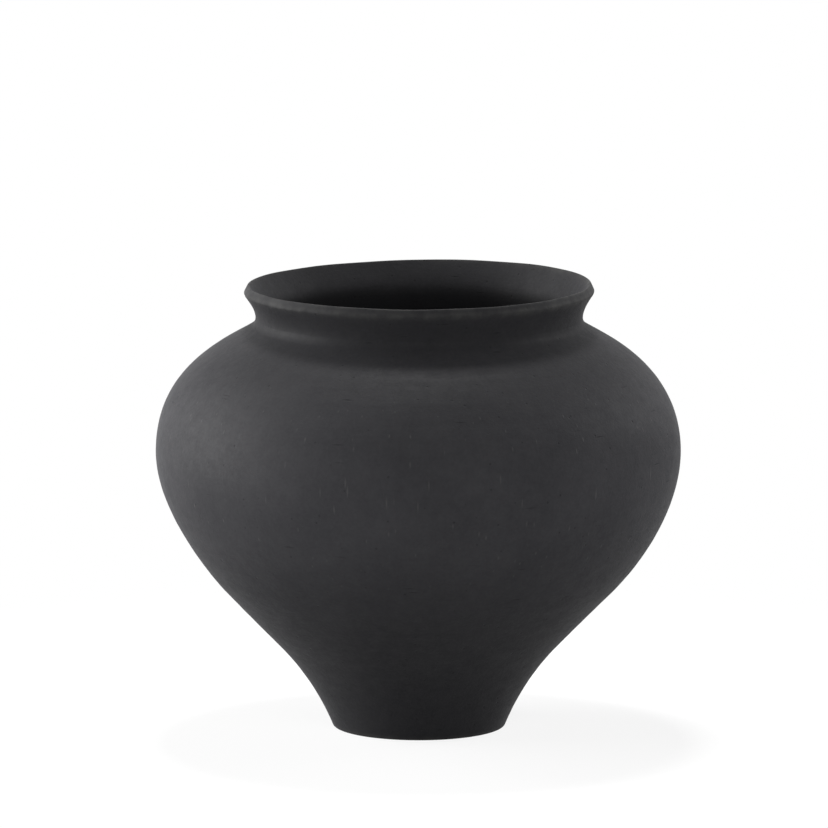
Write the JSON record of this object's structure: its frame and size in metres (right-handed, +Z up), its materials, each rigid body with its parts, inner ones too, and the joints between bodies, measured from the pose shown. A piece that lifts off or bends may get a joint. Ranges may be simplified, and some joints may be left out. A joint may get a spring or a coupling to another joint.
{
  "type": "ceramic jar",
  "caption": "Wide-bellied thrown stoneware jar with a narrow turned foot, a waisted neck and a flared lip, open at the top, without handles or lid.",
  "frame": {"origin": "centre of the circle that the foot stands on, at the ground", "axes": "+Z up along the axis that the jar was thrown about; +X and +Y are level, and the jar is the same all round"},
  "size_m": [0.31, 0.31, 0.2649],
  "materials": {
    "black_stoneware": "matt charcoal stoneware, unglazed, with fine sandy grain, small pits and faint turning lines",
    "luting_slip": "the same clay fired from a smooth slip, a little finer and greyer, hidden inside the wall"
  },
  "bodies": {
    "root": {"foot_section": "black_stoneware", "foot_joint_slip": "luting_slip", "lower_section": "black_stoneware", "belly_joint_slip": "luting_slip", "upper_section": "black_stoneware", "neck_joint_slip": "luting_slip", "collar_section": "black_stoneware"}
  },
  "joints": []
}
